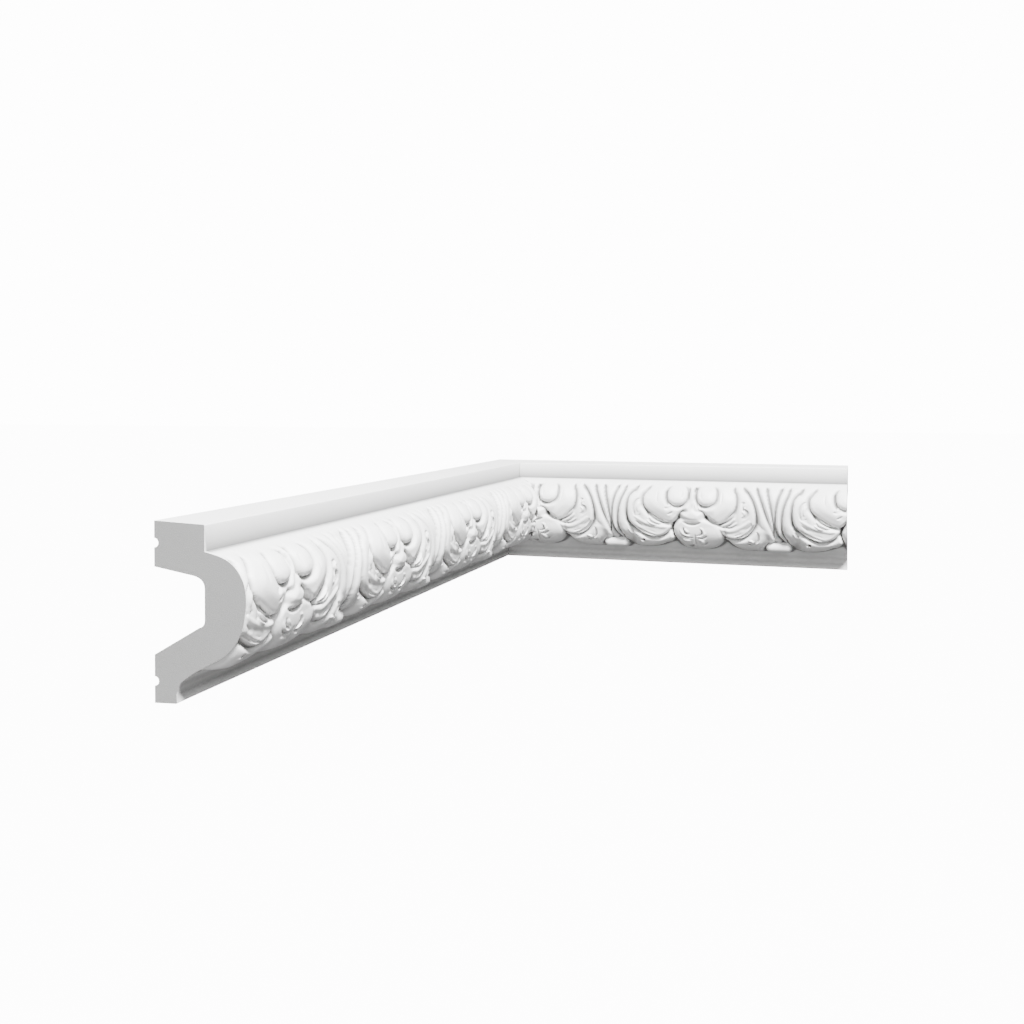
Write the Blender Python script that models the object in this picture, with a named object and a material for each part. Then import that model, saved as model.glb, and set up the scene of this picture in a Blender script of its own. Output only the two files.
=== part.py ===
"""A carved wall moulding cast in rigid foam: two lengths mitred to meet in an inside corner.

Metres, +Z up. Both lengths hang on the wall: the left one runs along Y against the plane X = 0, the
right one runs along X. The origin is the middle of the left length's upper fixing land, on its back.
"""

from collections import namedtuple
from math import cos, pi, radians, sin

import bmesh
import bpy
import numpy as np

# Driving dimensions, in metres
HEIGHT = 0.088
LEFT_RUN = 0.544  # from the wall's corner to the square end
RIGHT_RUN = 0.311
REPEAT_RUN = 0.138  # one unit of the carving
LEFT_AXIS = 0.081  # from the corner to the nearest pair of bosses
RIGHT_AXIS = 0.0464
MITRE_GAP = 0.0003
OVERRUN = 0.002  # stock past the corner before the mitre is cut

# The section is set out in parts of the height, as (depth from the wall, height above the bottom)
TOP_FRONT = (0.313, 0.987)
BOTTOM_FRONT = (0.138, 0.0045)
BULGE = (
    (0.313, 0.841), (0.377, 0.826), (0.428, 0.810), (0.470, 0.787), (0.512, 0.748), (0.541, 0.702),
    (0.557, 0.656), (0.564, 0.594), (0.560, 0.532), (0.549, 0.462), (0.533, 0.415), (0.500, 0.352),
    (0.422, 0.277), (0.252, 0.184), (0.166, 0.123), (0.145, 0.084), (0.136, 0.057),
)
COVE = (
    (0.470, 0.440), (0.398, 0.350), (0.346, 0.275), (0.262, 0.192),
    (0.166, 0.123), (0.145, 0.084), (0.136, 0.057),
)
COVE_SET_BACK = 0.07  # behind the bulge, above the cove's own line
GROOVE_HEIGHTS = (0.121, 0.879)
GROOVE_RADIUS = 0.026
GROOVE_SIDES = 6
CHANNEL_FOOT = 0.266
CHANNEL_HEAD = 0.748
CHANNEL_DEPTH = 0.313
CHANNEL_CORNERS = (((0.279, 0.428), (0.313, 0.470)), ((0.313, 0.640), (0.245, 0.708)))
CORNER_STEPS = 3

# The carving, in parts of the height: across the unit from its boss axis, and above the bottom.
# A form is level with its face at lift 0, its edge is rounded over edge, and it swells inwards from there.
REPEAT = REPEAT_RUN / HEIGHT
COLUMNS = 34  # stations in a repeat
ROWS = 25
SOFTNESS = 0.010  # how far one form melts into the next
WALL = 3.0  # steepness of the fall outside a form's edge
RELIEF_TOP = 0.828
RELIEF_FULL = 0.762
RELIEF_FOOT = (0.11, 0.15)
OUTLINE_STEPS = 4

Form = namedtuple("Form", "outline face lift edge swell reach")

HOLLOW_ACROSS = 0.790
HOLLOW_SINK = 0.030
HOLLOW_HALF = 0.130
HOLLOW_FOOT = 0.245
LOW_FANS = (
    ((0.67, 0.95), (0.70, 0.78), (0.72, 0.68), (0.74, 0.58), (0.757, 0.48), (0.77, 0.40), (0.78, 0.34),
     (0.785, 0.29), (0.74, 0.24), (0.60, 0.22), (0.45, 0.35), (0.42, 0.60), (0.40, 0.95)),
    ((-0.68, 0.95), (-0.70, 0.80), (-0.735, 0.71), (-0.76, 0.61), (-0.77, 0.51), (-0.765, 0.43),
     (-0.745, 0.36), (-0.71, 0.31), (-0.66, 0.26), (-0.52, 0.25), (-0.42, 0.40), (-0.42, 0.60),
     (-0.40, 0.95)),
)
FANS = (
    ((0.57, 0.95), (0.61, 0.77), (0.64, 0.69), (0.672, 0.60), (0.70, 0.52), (0.735, 0.43), (0.765, 0.35),
     (0.780, 0.30), (0.76, 0.265), (0.70, 0.235), (0.60, 0.22), (0.45, 0.35), (0.42, 0.60), (0.40, 0.95)),
    ((-0.58, 0.95), (-0.64, 0.745), (-0.675, 0.66), (-0.70, 0.57), (-0.71, 0.47), (-0.705, 0.40),
     (-0.685, 0.34), (-0.65, 0.295), (-0.60, 0.26), (-0.50, 0.25), (-0.42, 0.40), (-0.42, 0.60),
     (-0.40, 0.95)),
)
LOW_LEAVES = (
    ((0.315, 0.305), (0.36, 0.275), (0.405, 0.235), (0.46, 0.205), (0.53, 0.188), (0.60, 0.190),
     (0.66, 0.186), (0.71, 0.205), (0.745, 0.25), (0.765, 0.30), (0.73, 0.37), (0.60, 0.45), (0.45, 0.48),
     (0.34, 0.38)),
    ((-0.175, 0.32), (-0.165, 0.29), (-0.20, 0.262), (-0.26, 0.243), (-0.32, 0.220), (-0.40, 0.203),
     (-0.50, 0.198), (-0.58, 0.202), (-0.63, 0.220), (-0.655, 0.26), (-0.665, 0.32), (-0.64, 0.42),
     (-0.50, 0.48), (-0.30, 0.42), (-0.20, 0.37)),
)
CRESCENTS = (
    ((0.42, 0.95), (0.49, 0.77), (0.535, 0.70), (0.575, 0.62), (0.600, 0.54), (0.608, 0.47), (0.598, 0.41),
     (0.56, 0.355), (0.50, 0.315), (0.43, 0.296), (0.36, 0.303), (0.30, 0.335), (0.262, 0.375),
     (0.235, 0.42), (0.22, 0.50), (0.22, 0.95)),
    ((-0.44, 0.95), (-0.52, 0.75), (-0.565, 0.70), (-0.600, 0.64), (-0.615, 0.55), (-0.612, 0.47),
     (-0.59, 0.415), (-0.54, 0.370), (-0.46, 0.325), (-0.38, 0.298), (-0.30, 0.305), (-0.235, 0.335),
     (-0.197, 0.375), (-0.185, 0.42), (-0.18, 0.50), (-0.18, 0.95)),
)
LOBES = (
    ((0.38, 0.95), (0.40, 0.76), (0.418, 0.70), (0.428, 0.63), (0.422, 0.57), (0.402, 0.525), (0.35, 0.475),
     (0.30, 0.437), (0.25, 0.415), (0.20, 0.418), (0.163, 0.447), (0.145, 0.49), (0.10, 0.53),
     (-0.02, 0.55), (-0.03, 0.95)),
    ((-0.34, 0.95), (-0.39, 0.79), (-0.425, 0.72), (-0.455, 0.66), (-0.460, 0.60), (-0.445, 0.555),
     (-0.41, 0.52), (-0.35, 0.482), (-0.28, 0.445), (-0.22, 0.423), (-0.17, 0.428), (-0.135, 0.455),
     (-0.12, 0.49), (-0.08, 0.53), (0.0, 0.55), (0.01, 0.95)),
)
BOSSES = (
    ((0.045, 0.95), (0.040, 0.75), (0.038, 0.68), (0.055, 0.615), (0.095, 0.578), (0.145, 0.568),
     (0.195, 0.585), (0.230, 0.625), (0.238, 0.68), (0.225, 0.74), (0.215, 0.95)),
    ((-0.235, 0.95), (-0.248, 0.75), (-0.256, 0.67), (-0.240, 0.61), (-0.205, 0.575), (-0.155, 0.563),
     (-0.105, 0.572), (-0.068, 0.605), (-0.050, 0.66), (-0.045, 0.74), (-0.040, 0.95)),
)
LIP = (
    (-0.128, 0.63), (-0.125, 0.50), (-0.105, 0.455), (-0.05, 0.428), (0.02, 0.418), (0.08, 0.423),
    (0.13, 0.447), (0.148, 0.50), (0.150, 0.63),
)
BUD = (
    (-0.06, 0.485), (-0.13, 0.455), (-0.168, 0.41), (-0.175, 0.36), (-0.158, 0.305), (-0.125, 0.260),
    (-0.09, 0.220), (-0.04, 0.192), (0.05, 0.180), (0.13, 0.183), (0.19, 0.198), (0.25, 0.228),
    (0.298, 0.275), (0.318, 0.33), (0.302, 0.385), (0.255, 0.425), (0.19, 0.455), (0.12, 0.478),
    (0.03, 0.485),
)
BUD_FRONT = (  # depth of the bud down its middle
    (0.500, 0.470), (0.545, 0.45), (0.538, 0.40), (0.522, 0.34), (0.492, 0.28), (0.440, 0.22), (0.360, 0.18),
)
LEAF_FRONT = (  # depth of the low leaves, which hang free of the cove
    (0.549, 0.48), (0.542, 0.40), (0.526, 0.34), (0.508, 0.30), (0.480, 0.26), (0.432, 0.215),
    (0.372, 0.185), (0.320, 0.165),
)
LEAF_REACH = (-0.60, -0.48, 0.63, 0.75)  # across: hanging free begins, is full, ends to be full, ends
LEAF_TOP = (0.38, 0.46)
CRESCENT_FACE = 0.535
LOBE_FACE = 0.545
LIP_FACE = 0.552
FACE_FALL = (1.2, 0.60)  # how steeply the crescents and lobes fall back to the bulge, and above what height
FACE_SOFTNESS = 0.020
BUD_EDGE = 0.060
BUD_SWELL = (0.012, 0.13)
PAD_MIDDLE = (0.815, 0.232)
PAD_HALF = (0.074, 0.046)
PAD_DEPTH = 0.435
PAD_EDGE = 0.046
FORMS = (
    [Form(outline, "leaf", -0.022, 0.022, 0.014, 0.038) for outline in LOW_FANS]
    + [Form(outline, "leaf", -0.012, 0.022, 0.016, 0.038) for outline in FANS]
    + [Form(outline, "leaf", 0.004, 0.030, 0.008, 0.100) for outline in LOW_LEAVES]
    + [Form(outline, "crescent", 0.006, 0.026, 0.000, 0.100) for outline in CRESCENTS]
    + [Form(outline, "lobe", 0.002, 0.030, 0.020, 0.100) for outline in LOBES]
    + [Form(outline, "bulge", 0.014, 0.030, 0.018, 0.080) for outline in BOSSES]
    + [Form(LIP, "lip", -0.014, 0.050, 0.036, 0.100)]
)

FOAM_COLOUR = (0.80, 0.80, 0.79, 1.0)
FOAM_ROUGHNESS = 0.55
CREASE_ANGLE = radians(32)


def clear_scene():
    """Empty the file of its starting objects."""
    for thing in list(bpy.data.objects):
        bpy.data.objects.remove(thing, do_unlink=True)


def foam_material():
    """White primed foam."""
    material = bpy.data.materials.new("primed_foam")
    material.use_nodes = True
    shader = material.node_tree.nodes["Principled BSDF"]
    shader.inputs["Base Color"].default_value = FOAM_COLOUR
    shader.inputs["Roughness"].default_value = FOAM_ROUGHNESS
    shader.inputs["Metallic"].default_value = 0.0
    return material


def curve_through(points, steps=12):
    """A Catmull-Rom curve through the points of an outline."""
    knots = np.array(points, float)
    ends = np.vstack([2 * knots[0] - knots[1], knots, 2 * knots[-1] - knots[-2]])
    t = np.linspace(0, 1, steps, endpoint=False)[:, None]
    spans = []
    for a, b, c, d in zip(ends, ends[1:], ends[2:], ends[3:]):
        square = (2 * a - 5 * b + 4 * c - d) * t**2
        cube = (3 * b - a - 3 * c + d) * t**3
        spans.append(0.5 * (2 * b + (c - a) * t + square + cube))
    return np.vstack(spans + [knots[-1:]])


BULGE_CURVE = curve_through(BULGE)
COVE_CURVE = curve_through(COVE)
BUD_CURVE = curve_through(BUD_FRONT)
LEAF_CURVE = curve_through(LEAF_FRONT)


def bulge_depth(height):
    """Depth of the section's front at a height."""
    return np.interp(height, BULGE_CURVE[::-1, 1], BULGE_CURVE[::-1, 0])


def cove_depth(height):
    """Depth of the plain cove that the carving hangs over."""
    cove = np.interp(height, COVE_CURVE[::-1, 1], COVE_CURVE[::-1, 0])
    front = bulge_depth(height)
    return np.where(height > COVE[0][1], front - COVE_SET_BACK, np.minimum(cove, front))


def ramp(value, low, high):
    """Smooth step from 0 at low to 1 at high."""
    t = np.clip((value - low) / (high - low), 0, 1)
    return t * t * (3 - 2 * t)


def melt(a, b, softness=SOFTNESS):
    """The higher of two surfaces, rounded where they cross."""
    share = np.clip(0.5 + (a - b) / (2 * softness), 0, 1)
    return b + (a - b) * share + softness * share * (1 - share)


def inside_outline(across, height, outline):
    """How far points lie inside a form's edge, negative outside."""
    count = len(outline)
    again = [outline[index % count] for index in range(-1, count + 2)]
    line = curve_through(again, OUTLINE_STEPS)[OUTLINE_STEPS:-OUTLINE_STEPS - 1]
    near = np.full(across.shape, np.inf)
    within = np.zeros(across.shape, bool)
    for start, end in zip(line, np.roll(line, -1, axis=0)):
        run, rise = end - start
        share = ((across - start[0]) * run + (height - start[1]) * rise) / (run**2 + rise**2)
        share = np.clip(share, 0, 1)
        gap = np.hypot(across - start[0] - share * run, height - start[1] - share * rise)
        near = np.minimum(near, gap)
        if rise:
            crosses = (start[1] > height) != (end[1] > height)
            within ^= crosses & (across < start[0] + (height - start[1]) / rise * run)
    return np.where(within, near, -near)


def inside_bar(across, height, half_width, half_height):
    """How far a point lies inside a level bar with round ends."""
    return half_height - np.hypot(np.maximum(np.abs(across) - half_width, 0), height)


def raised(inside, level, edge):
    """A form's surface: its level, a rounded edge and a steep fall outside it."""
    out = np.clip(1 - inside / edge, 0, 1)
    top = level - edge * (1 - np.sqrt(1 - out**2))
    return np.where(inside > 0, top, level - edge + WALL * inside)


def around_repeat(across, middle):
    """Distance across from a line that comes back in every unit."""
    return (across - middle + REPEAT / 2) % REPEAT - REPEAT / 2


def fan_hollow(across, height):
    """The smooth hollow between two fans, which ends above the pad."""
    gap = np.abs(around_repeat(across, HOLLOW_ACROSS))
    hollow = bulge_depth(height) - HOLLOW_SINK * (1 - gap / HOLLOW_HALF)
    return hollow - WALL * np.maximum(HOLLOW_FOOT - height, 0) - WALL * np.maximum(gap - HOLLOW_HALF, 0)


def bud_depth(height):
    """Depth of the bud down its middle."""
    return np.interp(height, BUD_CURVE[::-1, 1], BUD_CURVE[::-1, 0])


def leaf_face(across, height):
    """Depth of the low leaves and fans: the bulge, and the leaves' own curve where they hang free."""
    front = bulge_depth(height)
    free = np.interp(height, LEAF_CURVE[::-1, 1], LEAF_CURVE[::-1, 0])
    begins, full, leaves, ends = LEAF_REACH
    share = ramp(across, begins, full) * ramp(-across, -ends, -leaves)
    return front + np.maximum(free - front, 0) * share * ramp(-height, -LEAF_TOP[1], -LEAF_TOP[0])


def level_face(height, depth):
    """A face that stands upright in front of the bulge and falls back into it towards the ledge."""
    steepness, above = FACE_FALL
    upright = depth - steepness * np.maximum(height - above, 0)
    return melt(bulge_depth(height), upright, FACE_SOFTNESS)


def carved_depth(across, height):
    """Depth from the wall of the carved front, all forms of one unit laid over each other."""
    across, height = np.broadcast_arrays(around_repeat(across, 0), height)
    front = bulge_depth(height)
    faces = {
        "bulge": front,
        "leaf": leaf_face(across, height),
        "crescent": level_face(height, CRESCENT_FACE),
        "lobe": level_face(height, LOBE_FACE),
        "lip": level_face(height, LIP_FACE),
    }
    depth = np.maximum(cove_depth(height), fan_hollow(across, height))
    for form in FORMS:
        inside = inside_outline(across, height, form.outline)
        level = faces[form.face] + form.lift + form.swell * ramp(inside, 0, form.reach)
        depth = melt(depth, raised(inside, level, form.edge))
    inside = inside_outline(across, height, BUD)
    swell, reach = BUD_SWELL
    bud = raised(inside, bud_depth(height) + swell * ramp(inside, 0, reach), BUD_EDGE)
    depth = melt(depth, bud)
    pad = inside_bar(around_repeat(across, PAD_MIDDLE[0]), height - PAD_MIDDLE[1], *PAD_HALF)
    depth = melt(depth, raised(pad, PAD_DEPTH, PAD_EDGE))
    share = ramp(RELIEF_TOP - height, 0, RELIEF_TOP - RELIEF_FULL) * ramp(height, *RELIEF_FOOT)
    return front + (depth - front) * share


def relief_heights():
    """Heights of the carved rows, evenly spaced around the bulge from the ledge's foot downwards."""
    steps = np.hypot(*np.diff(BULGE_CURVE, axis=0).T)
    travelled = np.concatenate([[0], np.cumsum(steps)])
    return np.interp(np.linspace(0, travelled[-1], ROWS + 1), travelled, BULGE_CURVE[:, 1])


def round_corner(start, end, corner):
    """Points from start to end that round off a corner."""
    points = []
    for step in range(CORNER_STEPS + 1):
        t = step / CORNER_STEPS
        pull = 2 * t * (1 - t)
        points.append([(1 - t) ** 2 * a + pull * b + t**2 * c for a, b, c in zip(start, corner, end)])
    return points


def back_outline():
    """The back of the section from the bottom edge up: two glue grooves and the channel between."""
    low, high = CHANNEL_CORNERS
    low_corner = (CHANNEL_DEPTH, low[0][1] + 0.2 * (low[1][1] - low[0][1]))
    high_corner = (CHANNEL_DEPTH, high[1][1] - 0.2 * (high[1][1] - high[0][1]))
    channel = [(0.0, CHANNEL_FOOT)]
    channel += round_corner(low[0], low[1], low_corner)
    channel += round_corner(high[0], high[1], high_corner)
    channel += [(0.0, CHANNEL_HEAD)]
    outline = [(0.0, 0.0)]
    for height in GROOVE_HEIGHTS:
        if height > CHANNEL_HEAD:
            outline += channel
        for side in range(GROOVE_SIDES + 1):
            angle = pi * side / GROOVE_SIDES
            outline.append((GROOVE_RADIUS * sin(angle), height - GROOVE_RADIUS * cos(angle)))
    return outline + [(0.0, 1.0)]


def stations(run, first_axis, towards_corner):
    """Places along a length, in step with the carving, from past the corner to the square end."""
    step = REPEAT_RUN / COLUMNS
    first = int(np.ceil((-OVERRUN - first_axis) / step))
    last = int(np.floor((run - first_axis) / step))
    inner = [first_axis + step * index for index in range(first, last + 1)]
    inner = [place for place in inner if step / 3 < place + OVERRUN and place < run - step / 3]
    places = np.array([-OVERRUN] + inner + [run])
    across = (places - first_axis) / HEIGHT
    return places, -across if towards_corner else across


def loft_length(name, run, first_axis, towards_corner, to_world, material):
    """One length: its carved front lofted through the stations, its plain faces full length."""
    places, across = stations(run, first_axis, towards_corner)
    heights = relief_heights()
    depths = carved_depth(across[:, None], heights[None, :])
    if towards_corner:
        # the left length's square end shows the plain section
        depths[-1] = bulge_depth(heights)
    mesh = bmesh.new()

    def vertex(place, depth, height):
        return mesh.verts.new(to_world(place, depth * HEIGHT, height * HEIGHT))

    front = []
    for place, row in zip(places, depths):
        front.append([vertex(place, depth, height) for depth, height in zip(row, heights)])
    plain = [BOTTOM_FRONT] + back_outline() + [TOP_FRONT]
    near = [vertex(places[0], *point) for point in plain]
    far = [vertex(places[-1], *point) for point in plain]
    for this, following in zip(front, front[1:]):
        for index in range(ROWS):
            mesh.faces.new((this[index], this[index + 1], following[index + 1], following[index]))
    for index in range(len(plain) - 1):
        mesh.faces.new((near[index], near[index + 1], far[index + 1], far[index]))
    ledge = [column[0] for column in front]
    toe = [column[-1] for column in front]
    mesh.faces.new([near[-1]] + ledge + [far[-1]])
    mesh.faces.new([near[0]] + toe + [far[0]])
    mesh.faces.new(front[0] + near)
    mesh.faces.new(front[-1] + far)
    bmesh.ops.recalc_face_normals(mesh, faces=mesh.faces)
    cut_mitre(mesh, to_world)
    data = bpy.data.meshes.new(name)
    mesh.to_mesh(data)
    mesh.free()
    data.materials.append(material)
    data.shade_smooth()
    data.set_sharp_from_angle(angle=CREASE_ANGLE)
    return bpy.data.objects.new(name, data)


def cut_mitre(mesh, to_world):
    """Saw the corner end at 45 degrees, half a gap short of the joint, and close the cut."""
    start = np.array(to_world(0, 0, 0))
    outwards = np.array(to_world(1, 0, 0)) - start
    forwards = np.array(to_world(0, 1, 0)) - start
    normal = (forwards - outwards) / np.sqrt(2)
    every = mesh.verts[:] + mesh.edges[:] + mesh.faces[:]
    point = tuple(start - normal * MITRE_GAP / 2)
    bmesh.ops.bisect_plane(
        mesh, geom=every, dist=1e-7, plane_co=point, plane_no=tuple(normal), clear_outer=True
    )
    bmesh.ops.holes_fill(mesh, edges=[edge for edge in mesh.edges if edge.is_boundary], sides=0)
    bmesh.ops.recalc_face_normals(mesh, faces=mesh.faces)


# The wall's inside corner at the moulding's bottom edge, seen from the origin on the left length's land
LAND_HEIGHT = 0.80 * HEIGHT
CORNER = (0.0, LEFT_RUN / 2, -LAND_HEIGHT)


def left_place(place, depth, height):
    """The left length runs from the corner along -Y and stands out along +X."""
    return (CORNER[0] + depth, CORNER[1] - place, CORNER[2] + height)


def right_place(place, depth, height):
    """The right length runs from the corner along +X and stands out along -Y."""
    return (CORNER[0] + place, CORNER[1] - depth, CORNER[2] + height)


def build():
    """Both lengths, in their own collection."""
    clear_scene()
    collection = bpy.data.collections.new("wall_moulding")
    bpy.context.scene.collection.children.link(collection)
    foam = foam_material()
    left = loft_length("left_length", LEFT_RUN, LEFT_AXIS, True, left_place, foam)
    right = loft_length("right_length", RIGHT_RUN, RIGHT_AXIS, False, right_place, foam)
    for length in (left, right):
        collection.objects.link(length)


build()
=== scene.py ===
"""Carved wall moulding of white primed foam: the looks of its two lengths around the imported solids.

Metres, +Z up. The left length hangs on the plane X = 0 and runs along Y; the right length runs along X.
The section and the carving are set out in parts of the moulding's height: u runs along the length, z goes
up from the bottom and depth comes out from the wall. One repeat of the carving, the unit, is worked out as a
grid of depths, and each length repeats it from the corner to its square end.
"""

import logging
from dataclasses import dataclass
from enum import Enum
from math import cos, pi, radians, sin

import bmesh
import bpy
import numpy as np
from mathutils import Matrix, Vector

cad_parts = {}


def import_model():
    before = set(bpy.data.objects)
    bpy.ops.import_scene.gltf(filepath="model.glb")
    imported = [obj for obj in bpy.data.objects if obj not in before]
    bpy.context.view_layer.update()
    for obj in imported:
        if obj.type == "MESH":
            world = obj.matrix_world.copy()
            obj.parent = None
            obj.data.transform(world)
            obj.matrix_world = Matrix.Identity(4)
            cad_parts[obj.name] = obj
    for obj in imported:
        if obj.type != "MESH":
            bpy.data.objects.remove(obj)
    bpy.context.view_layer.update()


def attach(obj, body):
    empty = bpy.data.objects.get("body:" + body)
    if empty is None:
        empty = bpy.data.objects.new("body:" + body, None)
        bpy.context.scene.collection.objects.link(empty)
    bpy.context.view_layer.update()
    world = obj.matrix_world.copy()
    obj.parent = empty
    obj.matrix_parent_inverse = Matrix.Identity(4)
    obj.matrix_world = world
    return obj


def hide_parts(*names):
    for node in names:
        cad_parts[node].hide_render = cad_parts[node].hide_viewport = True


logging.basicConfig(level=logging.INFO, format="%(message)s")
LOG = logging.getLogger("wall_moulding")

Point = tuple[float, float]
Span = tuple[float, float]
Place = tuple[float, float, float]
Grid = np.ndarray

# Sizes in metres
HEIGHT = 0.088
LEFT_RUN = 0.544
RIGHT_RUN = 0.311
REPEAT_RUN = 0.138
LEFT_AXIS = 0.081  # from the corner to the first pair of bosses
RIGHT_AXIS = 0.0464
MITRE_GAP = 0.0003
OVERRUN = 0.002  # how far a length runs past the corner before its mitre is sawn
LAND_HEIGHT = 0.80 * HEIGHT
CORNER = (0.0, LEFT_RUN / 2, -LAND_HEIGHT)

# One repeat in parts of the height
REPEAT = REPEAT_RUN / HEIGHT

# Pieces of a smooth line between two of its points
SECTION_STEPS = 12
PROFILE_STEPS = 8
OUTLINE_STEPS = 5
FOLD_STEPS = 10

# Farther than any point of a unit, and as good as nothing
FAR = 9.0
TINY = 1e-12
SAW_TOLERANCE = 1e-7

# The grain that both finishes share
GRAIN_DETAIL = 4.0
MOTTLE_SCALE = 22.0
MOTTLE_DETAIL = 3.0
ROUGHNESS_SWING = 0.12

WHITE = (1.0, 1.0, 1.0, 1.0)


class Wall(Enum):
    """The wall that a length hangs on, seen from the room."""

    LEFT = "left"
    RIGHT = "right"


class Side(Enum):
    """Which faces of a length a finish goes on."""

    FACE = 0
    SAWN = 1


def smooth_line(points: tuple[Point, ...], steps: int, closed: bool = False) -> Grid:
    """Run a Catmull-Rom curve through points.

    Args:
        points: The curve's points in order.
        steps: Pieces between two points.
        closed: Whether the curve comes back to its start.

    Returns:
        The curve's points, one row each.
    """
    knots = np.array(points, float)
    if closed:
        ends = np.vstack([knots[-1:], knots, knots[:2]])
    else:
        ends = np.vstack([2 * knots[0] - knots[1], knots, 2 * knots[-1] - knots[-2]])
    t = np.linspace(0, 1, steps, endpoint=False)[:, None]
    spans = []
    for a, b, c, d in zip(ends, ends[1:], ends[2:], ends[3:]):
        square = (2 * a - 5 * b + 4 * c - d) * t**2
        cube = (3 * b - a - 3 * c + d) * t**3
        spans.append(0.5 * (2 * b + (c - a) * t + square + cube))
    return np.vstack(spans if closed else spans + [knots[-1:]])


def ramp(value: Grid, low: float, high: float) -> Grid:
    """Step smoothly from 0 at low to 1 at high."""
    t = np.clip((value - low) / (high - low), 0, 1)
    return t * t * (3 - 2 * t)


def short_of(value: Grid, end: float, span: float) -> Grid:
    """Step smoothly from 1, a span short of an end, down to 0 at the end."""
    return ramp(end - value, 0, span)


def hump(value: Grid, middle: float, half: float) -> Grid:
    """Rise to 1 at the middle, round, and stay 0 beyond half to either side."""
    return np.clip(1 - ((value - middle) / half) ** 2, 0, 1)


def follow(profile: tuple[Point, ...], z: Grid) -> Grid:
    """Read a smooth profile at some heights.

    Args:
        profile: The profile's points, as (depth, height).
        z: Heights.

    Returns:
        The profile's depth at each height.
    """
    line = smooth_line(profile, PROFILE_STEPS)
    line = line[np.argsort(line[:, 1])]
    return np.interp(z, line[:, 1], line[:, 0])


def melt(a: Grid, b: Grid | float, softness: float) -> Grid:
    """Take the higher of two surfaces, rounded where they cross."""
    share = np.clip(0.5 + (a - b) / (2 * softness), 0, 1)
    return b + (a - b) * share + softness * share * (1 - share)


def from_repeat(u: Grid, middle: float) -> Grid:
    """Measure how far places lie from the nearest repeat of a middle, negative before it."""
    return (u - middle + REPEAT / 2) % REPEAT - REPEAT / 2


def near_segment(u: Grid, z: Grid, start: Grid, end: Grid) -> tuple[Grid, Grid]:
    """Measure how near points lie to a straight piece of a line.

    Args:
        u: Places along the run.
        z: Heights.
        start: The piece's start.
        end: The piece's end.

    Returns:
        The distance, and the share of the piece at the nearest point.
    """
    run, rise = end - start
    length = max(run * run + rise * rise, TINY)
    share = np.clip(((u - start[0]) * run + (z - start[1]) * rise) / length, 0, 1)
    return np.hypot(u - start[0] - share * run, z - start[1] - share * rise), share


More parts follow.
